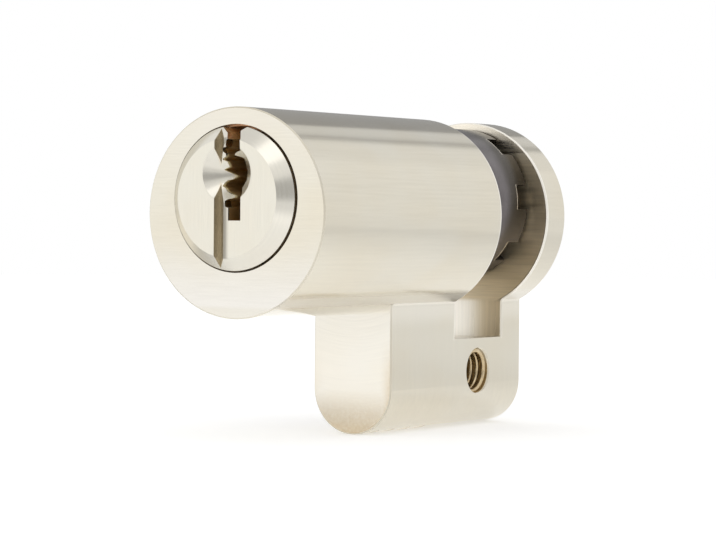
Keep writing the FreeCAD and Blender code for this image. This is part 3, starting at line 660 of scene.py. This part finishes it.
@dataclass(frozen=True)
class PlugFinish(SatinNickel):
    """The plug: ground face, turned bevel, and bare brass where the key slot is broached."""

    plate: Colour = (0.722, 0.686, 0.592)
    cool: Colour = (0.722, 0.694, 0.608)
    groove: Colour = (0.70, 0.63, 0.51)
    groove_foot: Colour = (0.76, 0.69, 0.565)
    lip: Colour = (0.38, 0.355, 0.30)
    slot: Colour = (0.70, 0.52, 0.27)
    wards: Colour = (0.98, 0.87, 0.55)
    roughness: float = 0.15

    # Noise of the plate and of each tool.
    patches: Grain = Grain(0.3, 0.2, 0.3, detail=2.0)
    turned: Grain = Grain(7.0, 7.0, 0.1)
    brushed: Grain = Grain(7.0, 0.25)

    # Borders of the zones, as in the housing.
    face_facing: Fade = Fade(0.90, 0.98)
    wall_facing: Fade = Fade(0.3, 0.7)
    cone_facing: Fade = Fade(0.5, 0.6)
    under_skin: Fade = Fade(0.08, 0.2)
    behind_face: Fade = Fade(0.08, 0.3)
    cone_skin: Fade = Fade(0.25, 0.1)
    groove_side: Fade = Fade(0.1, 0.0)
    groove_floor: Fade = Fade(0.05, 0.0)
    ward_reach: Fade = Fade(0.6, 0.3)

    # Shade on the face beside the groove and on the right of the cone, and the groove's foot.
    lip_right: Fade = Fade(0.42, -0.25)
    lip_left: Fade = Fade(-1.4, -0.9)
    lip_rim: Fade = Fade(0.2, 0.0)
    cone_shade: Fade = Fade(0.5, 0.7, 0.15)
    cone_base: float = 0.05
    groove_low: Fade = Fade(-2.0, -4.0)
    bevel_pale: float = 0.25

    # Roughness and dirt.
    patch_rough: float = 0.04
    brass_rough: float = 0.3
    cone_rough: float = 0.05
    ward_dirt: float = 0.8

    def marks(self, at: PlugZones) -> Channel:
        """Rings from turning, and upright brushing on the face."""
        turned = self.turned.over(at.tree, at.radius, at.depth, at.x)
        return turned.mixed(self.brushed.over(at.tree, at.x, at.up), at.face)

    def colour(self, at: PlugZones, patches: Channel) -> Channel:
        """The plug's colour: plate, shade beside the groove, the groove's wall and the brass.

        Args:
            at: the shaded point.
            patches: the plate's drift, 0 to 1.

        Returns:
            The colour.
        """
        tree = at.tree
        colour = tree.blend(self.drift.at(patches), self.plate, self.cool)
        colour = tree.blend((1.0 - at.face) * self.bevel_pale, colour, self.white)
        beside = (self.lip_right.at(at.x) * self.lip_left.at(at.x)
                  * self.lip_rim.at(at.radius, at.flat_r))
        lip = beside * (1.0 - at.groove_wall) * (1.0 - at.cone)
        cone = at.cone * (self.cone_shade.at(at.rightward) + self.cone_base)
        colour = tree.blend(lip.at_least(cone), colour, self.lip)
        groove = tree.blend(self.groove_low.at(at.up), self.groove, self.groove_foot)
        colour = tree.blend(at.groove_wall, colour, groove)
        colour = tree.blend(at.brass, colour, self.slot)
        return tree.blend(at.ward, colour, self.wards)

    def material(self, plug: "KeyPlug") -> bpy.types.Material:
        """The plug's material.

        Args:
            plug: the sizes that the marks follow.

        Returns:
            The material.
        """
        material, tree = new_material("nickel_plug")
        at = PlugZones(tree, plug, self)
        patches = self.patches.over(tree, *at.spot)
        rough = (patches * self.patch_rough + at.brass * self.brass_rough
                 + at.cone * self.cone_rough)
        metal = 1.0 - at.ward * self.ward_dirt
        tree.surface(self.shader(tree, self.colour(at, patches), rough, self.marks(at), metal))
        return material


@dataclass(frozen=True)
class PlainMetal:
    """A bare metal with streaks from turning and a mottled colour."""

    name: str
    light: Colour
    dark: Colour
    roughness: float
    streaks: Grain = Grain(0.3, 6.0, 0.3, detail=2.0)
    mottle: Grain = Grain(1.0, 1.0, 1.0, detail=4.0)
    drift: Fade = Fade(0.3, 0.7)
    streak_rough: float = 0.15
    streak_strength: float = 0.6
    streak_depth: float = 0.002

    def material(self) -> bpy.types.Material:
        """The metal's one material, made at the first call.

        Returns:
            The material.
        """
        made = bpy.data.materials.get(self.name)
        if made:
            return made
        material, tree = new_material(self.name)
        spot = tree.place()
        streaks = self.streaks.over(tree, *spot)
        drift = self.drift.at(self.mottle.over(tree, *spot))
        tree.surface(tree.add("ShaderNodeBsdfPrincipled", {
            "Base Color": tree.blend(drift, self.dark, self.light), "Metallic": 1.0,
            "Roughness": streaks * self.streak_rough + self.roughness,
            "Normal": tree.bump(streaks, self.streak_strength, self.streak_depth)}))
        return material


PIN_BRASS = PlainMetal("pin_brass", (0.74, 0.54, 0.24), (0.62, 0.43, 0.17), 0.22)
PIN_STEEL = PlainMetal("pin_steel", (0.58, 0.57, 0.55), (0.48, 0.47, 0.45), 0.20)
SPRING_STEEL = PlainMetal("spring_steel", (0.55, 0.55, 0.55), (0.42, 0.42, 0.43), 0.25)
HUB_STEEL = PlainMetal("hub_steel", (0.90, 0.76, 0.54), (0.80, 0.66, 0.45), 0.42)
THREAD_METAL = PlainMetal("thread_nickel", (0.65, 0.53, 0.34), (0.55, 0.43, 0.26), 0.20)
STOPPER_NICKEL = PlainMetal("stopper_nickel", (0.70, 0.655, 0.55), (0.66, 0.61, 0.50), 0.22)


@dataclass(frozen=True)
class SinteredSteel:
    """Blackened sintered steel: grainy, half dull, bright where its edges are rubbed, with a
    painted highlight there, and painted shade at the rear.
    """

    dark: Colour = (0.120, 0.106, 0.107)
    light: Colour = (0.158, 0.142, 0.146)
    rear_shade: Colour = (0.052, 0.043, 0.033)
    rubbed_and_highlit: Colour = (0.80, 0.74, 0.64)
    metallic: float = 0.85
    roughness: float = 0.20

    # Fine grain as height and roughness, wide patches as colour.
    grain: Grain = Grain(8.0, 8.0, 8.0)
    grain_rough: float = 0.1
    grain_strength: float = 0.5
    grain_depth: float = 0.002
    patches: Grain = Grain(0.5, 0.5, 0.5)
    drift: Fade = Fade(0.3, 0.75)

    # Rubbed edges with a painted highlight at the notches' feet, as distances from the ring's
    # skin and the notch.
    ring_inner: Fade = Fade(-0.15, -0.05)
    ring_outer: Fade = Fade(0.2, 0.1)
    notch_side: Fade = Fade(0.6, 0.0)
    notch_foot: Fade = Fade(0.16, 0.08)

    # Painted shade towards the rear, and more of it higher up.
    rear_shade_depth: Fade = Fade(-0.5, 1.5)
    rear_shade_height: Fade = Fade(14.0, 19.0, 0.5)
    rear_shade_base: float = 0.5

    def wear_and_highlight(self, drive: "CamDrive", spot: tuple[Channel, Channel, Channel]) -> Channel:
        """Where the steel is rubbed bright, with a painted highlight: the edges at the feet of
        the ring's notches.

        Args:
            drive: the sizes that the edges follow.
            spot: the shaded point in millimetres.

        Returns:
            The mask.
        """
        x, y, z = spot
        up = z - drive.axis_height
        radius = x.hypot(up)
        off_notch = (up.angle_over(x) - drive.notch_turn).folded(360.0 / drive.notches)
        off_foot = abs(y - (drive.rear - drive.notch_length))
        return (self.notch_foot.at(off_foot) * self.notch_side.at(off_notch, drive.half_notch)
                * self.ring_inner.at(radius, drive.ring_r)
                * self.ring_outer.at(radius, drive.ring_r))

    def material(self, drive: "CamDrive") -> bpy.types.Material:
        """The steel's material.

        Args:
            drive: the sizes that the rubbed, highlit edges follow.

        Returns:
            The material.
        """
        material, tree = new_material("cam_steel")
        _, y, z = spot = tree.place()
        grain = self.grain.over(tree, *spot)
        drift = self.drift.at(self.patches.over(tree, *spot))
        # Painted shade towards the rear, more of it higher up.
        rear_shade_mask = self.rear_shade_depth.at(y) * (self.rear_shade_height.at(z) + self.rear_shade_base)
        colour = tree.blend(drift, self.dark, self.light)
        colour = tree.blend(rear_shade_mask, colour, self.rear_shade)
        # Rubbed notch edges with a painted highlight.
        colour = tree.blend(self.wear_and_highlight(drive, spot), colour, self.rubbed_and_highlit)
        tree.surface(tree.add("ShaderNodeBsdfPrincipled", {
            "Base Color": colour, "Metallic": self.metallic,
            "Roughness": grain * self.grain_rough + self.roughness,
            "Normal": tree.bump(grain, self.grain_strength, self.grain_depth)}))
        return material


@dataclass
class Housing:
    """Barrel and web with the thread of the fixing screw hole, the stoppers and hardened pins."""

    barrel_r: float = 11.0
    barrel_height: float = 17.85
    plug_height: float = 19.35
    bore_r: float = 7.7
    front: float = -42.5
    rear: float = 10.0
    foot_r: float = 5.0
    foot_height: float = -1.45
    web_top: float = 8.05
    slot_half: float = 5.4
    slot_floor: float = 3.8
    stoppers: int = 4
    guard_pins: int = 2
    finish: HousingFinish = field(default_factory=HousingFinish)

    # The screw hole's thread, whose ridge is shaped like a tent with a flat crest.
    screw_r: float = 2.5
    pitch: float = 0.8
    ridge: float = 0.43  # how far the crest stands into the hole
    ridge_flat: float = 0.1
    ridge_foot: float = 0.94  # share of the pitch that the foot takes
    ridge_root: float = 0.02  # how deep the foot sits in the wall
    ridge_turn: float = -0.45  # where it starts, in turns
    lead: float = 0.22  # how far it stays behind the hole's mouths
    run_out: float = 0.25  # turns over which it sinks away at each end
    steps: int = 48  # points to a turn

    def thread(self) -> bpy.types.Object:
        """The screw thread's ridge, which stands into the hole from its wall.

        A tent-shaped section is carried along a helix about the X axis: at the turn t the
        section's middle is at x = start + pitch * t and at the angle 2 * pi * (t + ridge_turn).
        Over the run-out at each end the crest sinks into the wall and the section narrows.

        Returns:
            The ridge's object.
        """
        half_width = self.foot_r - self.lead
        turns = 2 * half_width / self.pitch
        t = np.linspace(0.0, turns, int(turns * self.steps) + 1)
        foot = self.pitch / 2 * self.ridge_foot
        rise = np.minimum(1.0, np.minimum(t, turns - t) / self.run_out)
        crest = self.screw_r - self.ridge * rise
        wall = np.full_like(t, self.screw_r + self.ridge_root)
        across = np.array([-foot, -self.ridge_flat / 2, self.ridge_flat / 2, foot])
        radii = np.stack([wall, crest, crest, wall], axis=1)
        angle = (FULL_TURN * (t + self.ridge_turn))[:, None]
        x = -half_width + self.pitch * t[:, None] + across[None, :] * rise[:, None]
        points = np.stack([x, radii * np.cos(angle), radii * np.sin(angle)], axis=-1) * MM
        piece = tube_mesh("screw_thread", points)
        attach(piece, "housing")
        return piece

    def build(self) -> None:
        """Dress the housing and its fixed pieces, and make the thread."""
        dress(["housing"], self.finish.material(self))
        thread = self.thread()
        thread.data.materials.append(THREAD_METAL.material())
        log.info("%s has %d faces", thread.name, len(thread.data.polygons))
        dress(numbered("pin_stopper", self.stoppers), STOPPER_NICKEL.material())
        dress(numbered("housing_guard_pin", self.guard_pins), PIN_STEEL.material())


@dataclass
class KeyPlug:
    """Key plug with the pieces that turn with it."""

    axis_height: float = 19.35
    radius: float = 7.5
    front: float = -44.1
    bevel: float = 1.35
    groove_left: float = 1.55
    groove_depth: float = 1.2
    cone_x: float = 0.0
    cone_up: float = 2.55
    cone_r: float = 3.0
    finish: PlugFinish = field(default_factory=PlugFinish)

    def build(self) -> None:
        """Dress the plug, its hardened pins and its retaining ring."""
        dress(["plug"], self.finish.material(self))
        dress(["plug_guard_pin_left", "plug_guard_pin_right"], PIN_STEEL.material())
        dress(["retaining_ring"], SPRING_STEEL.material())


@dataclass(frozen=True)
class SpringSize:
    """Sizes of a coiled spring at rest, and how far its joint presses it."""

    length: float
    stroke: float
    wire: float
    outer: float
    turns: float


@dataclass(frozen=True)
class Coil:
    """A round-wire spring with closed ends."""

    node: str
    body: str
    joint: str
    foot: Place
    size: SpringSize
    lean: float = 90.0
    closed: float = 0.75  # turns that lie on each other at each end
    ease: float = 0.5  # turns from there to the full rise
    steps: int = 40  # rings of points to a turn
    sides: int = 12  # points round the wire

    def axis(self) -> Place:
        """The spring's axis, which leaves the X axis by the lean towards Z."""
        lean = math.radians(self.lean)
        return math.cos(lean), 0.0, math.sin(lean)

    def skin(self) -> np.ndarray:
        """The wire's surface as rings of points.

        The wire's middle line is a helix about the spring's axis. Each turn rises by a wire's
        thickness, and what is left of the length is shared out over the turns between the
        closed ones. Round the middle line, the skin at the angle b is
        line + wire / 2 * (outward * cos b + aside * sin b), where aside is outward crossed with
        the line's direction.

        Returns:
            Array of shape (rings, points in a ring, 3) in metres.
        """
        size = self.size
        axis = np.array(self.axis())
        across = np.array([axis[2], 0.0, -axis[0]])
        turn = np.linspace(0.0, size.turns, int(size.turns * self.steps) + 1)
        from_end = np.minimum(turn, size.turns - turn)
        ease = np.clip(from_end - self.closed, 0.0, self.ease) / self.ease
        share = np.cumsum(ease * ease * (3 - 2 * ease))
        spread = size.length - size.wire * (size.turns + 1)
        rise = size.wire * turn + spread * share / share[-1]
        angle = (FULL_TURN * turn)[:, None]
        outward = across * np.cos(angle) + np.array([0.0, 1.0, 0.0]) * np.sin(angle)
        line = (np.array(self.foot) + axis * (size.wire / 2 + rise)[:, None]
                + outward * (size.outer - size.wire) / 2)
        along = np.gradient(line, axis=0)
        aside = np.cross(outward, along / np.linalg.norm(along, axis=1)[:, None])
        b = np.linspace(0.0, FULL_TURN, self.sides, endpoint=False)[None, :, None]
        return (line[:, None] + size.wire / 2 * (outward[:, None] * np.cos(b)
                                                 + aside[:, None] * np.sin(b))) * MM

    def build(self) -> None:
        """Make the spring in its node's place, hang it on its body and hide the node."""
        piece = tube_mesh(f"{self.node}_coil", self.skin(), capped=True)
        piece.data.materials.append(SPRING_STEEL.material())
        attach(piece, self.body)
        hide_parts(self.node)
        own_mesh(piece)
        log.info("%s has %d faces", piece.name, len(piece.data.polygons))


@dataclass
class CamDrive:
    """Cam with its lock pin, and the hub that carries it."""

    axis_height: float = 19.35
    ring_r: float = 8.7
    rear: float = 5.05
    notches: int = 8
    notch_turn: float = 5.0
    notch_length: float = 2.6
    half_notch: float = 9.1
    spring_foot: float = 1.55
    spring_y: float = 3.35
    spring: SpringSize = SpringSize(length=3.2, stroke=1.8, wire=0.25, outer=2.6, turns=4.0)
    finish: SinteredSteel = field(default_factory=SinteredSteel)

    def build(self) -> None:
        """Dress the driven end and make the lock pin's spring, which leans with its notch."""
        dress(["cam"], self.finish.material(self))
        dress(["cam_hub", "cam_lock_pin"], HUB_STEEL.material())
        turn = math.radians(self.notch_turn)
        foot = (self.spring_foot * math.cos(turn), self.spring_y,
                self.axis_height + self.spring_foot * math.sin(turn))
        Coil("cam_lock_spring", "plug", "cam_lock_pin_press", foot, self.spring,
             lean=self.notch_turn).build()


@dataclass
class PinStacks:
    """The four stacks of key pin, driver pin and spring."""

    count: int = 4
    x: float = 0.8
    first: float = -17.4
    pitch: float = 10.0 / 3
    foot: float = -3.1
    spring: SpringSize = SpringSize(length=9.87, stroke=2.5, wire=0.32, outer=2.3, turns=9.0)

    def build(self) -> None:
        """Dress the pins and make their springs."""
        dress(numbered("key_pin", self.count), PIN_BRASS.material())
        dress(numbered("driver_pin", self.count), PIN_STEEL.material())
        for i in range(1, self.count + 1):
            place = (self.x, self.first + self.pitch * (i - 1), self.foot)
            Coil(f"pin_spring_{i}", "housing", f"driver_pin_{i}_slide", place,
                 self.spring).build()


@dataclass
class PhotoCamera:
    """Camera of the photograph, from a fit to the lock's outlines.

    The camera looks at a point on the barrel's axis from a yaw and pitch, is rolled, and is
    then shifted within its own picture plane. The focal length and the picture's width are in
    pixels, and the clipping distances in metres.
    """

    yaw: float = 31.872
    pitch: float = 0.937
    roll: float = 0.494
    aim: Place = (0.0, -16.5, 17.85)
    distance: float = 307.212
    right: float = 1.038
    up: float = 6.139
    focal: float = 2761.73
    width: float = 716.0
    sensor: float = 36.0
    nearest: float = 0.01
    farthest: float = 20.0

    def build(self) -> None:
        """Make the camera and use it."""
        yaw, pitch, roll = (math.radians(a) for a in (self.yaw, self.pitch, self.roll))
        back = Vector((math.sin(yaw) * math.cos(pitch), -math.cos(yaw) * math.cos(pitch),
                       math.sin(pitch)))
        right = (-back).cross(Vector((0.0, 0.0, 1.0))).normalized()
        up = right.cross(-back)
        right, up = (right * math.cos(roll) + up * math.sin(roll),
                     up * math.cos(roll) - right * math.sin(roll))
        spot = Vector(self.aim) + back * self.distance - right * self.right - up * self.up
        data = bpy.data.cameras.new("camera")
        data.sensor_width = self.sensor
        data.lens = self.focal * self.sensor / self.width
        data.clip_start, data.clip_end = self.nearest, self.farthest
        camera = bpy.data.objects.new("camera", data)
        turned = Matrix((right, up, back)).transposed().to_4x4()
        camera.matrix_world = Matrix.Translation(spot * MM) @ turned
        bpy.context.scene.collection.objects.link(camera)
        bpy.context.scene.camera = camera
        log.info("camera at %s mm", tuple(round(v) for v in spot))


@dataclass(frozen=True)
class Card:
    """A grey card far off that only the metal shows. Angles are in degrees.

    The azimuth runs from +X towards +Y, and the elevation from the horizon up.
    """

    azimuth: float
    elevation: float
    half_width: float
    half_height: float
    level: float
    soft: float = 1.0

    def shade(self, x: Channel, y: Channel, elevation: Channel) -> Channel:
        """How much of the surroundings' light is left in a direction.

        Args:
            x: the direction's part along X.
            y: its part along Y.
            elevation: its elevation.

        Returns:
            1 off the card and its level on it.
        """
        turn = math.radians(self.azimuth)
        along = x * math.cos(turn) + y * math.sin(turn)
        aside = abs((y * math.cos(turn) - x * math.sin(turn)).angle_over(along))
        above = abs(elevation - self.elevation)
        cover = (aside.rise(self.half_width + self.soft, self.half_width)
                 * above.rise(self.half_height + self.soft, self.half_height))
        return 1.0 - cover * (1.0 - self.level)


@dataclass(frozen=True)
class Patch:
    """A round patch of floor that metal shows lighter or darker. Lengths are in millimetres."""

    x: float
    y: float
    radius: float
    level: float

    def light(self, x: Channel, y: Channel) -> Channel:
        """What the patch adds at a point: its level in the inner third, less and less outside."""
        return (x - self.x).hypot(y - self.y).rise(self.radius, self.radius / 3) * self.level


@dataclass(frozen=True)
class Lamp:
    """A square soft lamp that looks at the lock. Its level is its face's, where 1 is white."""

    name: str
    spot: Place
    width: float
    level: float
    target: Place = (0.0, -17.0, 12.0)

    def build(self) -> None:
        """Make the lamp."""
        data = bpy.data.lights.new(self.name, "AREA")
        data.size = self.width * MM
        data.energy = self.level * math.pi * data.size ** 2
        lamp = bpy.data.objects.new(self.name, data)
        lamp.location = Vector(self.spot) * MM
        lamp.rotation_mode = "QUATERNION"
        back = Vector(self.spot) - Vector(self.target)
        lamp.rotation_quaternion = back.to_track_quat("Z", "Y")
        bpy.context.scene.collection.objects.link(lamp)
        log.info("%s at %s mm", self.name, self.spot)


@dataclass
class Studio:
    """Pale floor, white background, soft lamps, and grey cards that metal shows."""

    floor_height: float = -6.45
    floor_rings: tuple[float, ...] = (0.5, 60.0, 200.0, 900.0)
    floor_sides: int = 96
    floor_grain: Grain = Grain(0.5, 0.5, detail=2.0)
    floor_tones: tuple[Colour, Colour] = ((0.90, 0.90, 0.90), (0.92, 0.92, 0.92))
    floor_glow: float = 0.35
    floor_level: float = 0.22
    white: Colour = (1.0, 1.0, 1.0)
    fill: float = 0.8
    patches: tuple[Patch, ...] = (
        Patch(-60.0, -120.0, 330.0, 0.32),
        Patch(66.0, 50.0, 100.0, -0.22),
        Patch(-50.0, -30.0, 46.0, -0.66),
        Patch(12.0, -56.0, 50.0, -0.16),
        Patch(120.0, -110.0, 90.0, -0.35),
    )
    cards: tuple[Card, ...] = (
        Card(123.0, 17.0, 17.0, 16.0, 0.37),
        Card(100.0, 29.0, 6.0, 12.0, 0.75),
        Card(92.5, 31.0, 1.8, 8.0, 0.54, 0.8),
        Card(83.0, 31.0, 7.0, 6.0, 0.92, 4.0),
        Card(58.0, 4.0, 30.0, 10.0, 0.98, 12.0),
        Card(-44.0, 2.0, 32.0, 18.0, 0.54, 8.0),
        Card(-160.0, 68.0, 60.0, 9.0, 0.86, 6.0),
    )
    lamps: tuple[Lamp, ...] = (
        Lamp("front_lamp", (-330.0, -560.0, 20.0), 520.0, 0.20),
        Lamp("top_lamp", (158.0, -204.0, 402.0), 200.0, 0.50),
    )

    def build(self) -> None:
        """Make the studio."""
        self.world()
        self.floor()
        for lamp in self.lamps:
            lamp.build()

    def world(self) -> None:
        """White where the camera, metal and glass look, and a soft fill for the rest."""
        world = bpy.data.worlds.new("studio")
        bpy.context.scene.world = world
        tree = Tree(world)
        x, y, z = tree.split(tree.add("ShaderNodeTexCoord", output="Generated"))
        elevation = z.angle_over(x.hypot(y))
        shown = 1.0
        for card in self.cards:
            shown = card.shade(x, y, elevation) * shown
        camera, glossy, passed = self.rays(tree)
        plain = camera.at_least(passed)
        strength = plain + glossy * shown + (1.0 - plain.at_least(glossy)) * self.fill
        light = tree.add("ShaderNodeBackground", {"Color": self.white, "Strength": strength})
        tree.add("ShaderNodeOutputWorld", {"Surface": light})
        log.info("world has %d cards", len(self.cards))

    @staticmethod
    def rays(tree: Tree) -> tuple[Channel, ...]:
        """Which kind of ray looks: 1 for its own kind, in the order of the kinds."""
        outputs = tree.add("ShaderNodeLightPath").socket.node.outputs
        return tuple(Channel(tree, outputs[kind.value]) for kind in Ray)

    def floor(self) -> None:
        """A round pale floor: on each ring, radius r and angle a give (r cos a, r sin a)."""
        angles = np.linspace(0.0, FULL_TURN, self.floor_sides, endpoint=False)
        r, a = np.meshgrid(np.array(self.floor_rings), angles, indexing="ij")
        height = np.full_like(r, self.floor_height)
        points = np.stack([r * np.cos(a), r * np.sin(a), height], axis=-1) * MM
        floor = tube_mesh("floor", points)
        floor.data.materials.append(self.paper())
        log.info("%s has %d faces", floor.name, len(floor.data.polygons))

    def paper(self) -> bpy.types.Material:
        """The floor's pale paper: see-through from below, and mirrored at a level of its own.

        Returns:
            The material.
        """
        material, tree = new_material("pale_floor")
        x, y, _ = tree.place()
        colour = tree.blend(self.floor_grain.over(tree, x, y), *self.floor_tones)
        paper = tree.add("ShaderNodeBsdfDiffuse", {"Color": colour})
        camera, glossy, passed = self.rays(tree)
        mirrored = self.floor_level
        for patch in self.patches:
            mirrored = patch.light(x, y) + mirrored
        seen = camera.at_least(passed) * self.floor_glow + glossy * mirrored.at_least(0.0)
        glow = tree.add("ShaderNodeEmission", {"Color": self.white, "Strength": seen})
        lit = tree.add("ShaderNodeAddShader", {0: paper, 1: glow})
        clear = tree.add("ShaderNodeBsdfTransparent")
        below = tree.add("ShaderNodeNewGeometry", output="Backfacing")
        tree.surface(tree.add("ShaderNodeMixShader", {0: below, 1: lit, 2: clear}))
        return material


def main() -> None:
    """Dress the lock and light it."""
    logging.basicConfig(level=logging.INFO, format="%(name)s: %(message)s")
    bpy.context.scene.view_settings.view_transform = "Standard"
    PhotoCamera().build()
    Studio().build()
    for group in (Housing(), KeyPlug(), CamDrive(), PinStacks()):
        group.build()


if __name__ == "__main__":
    main()
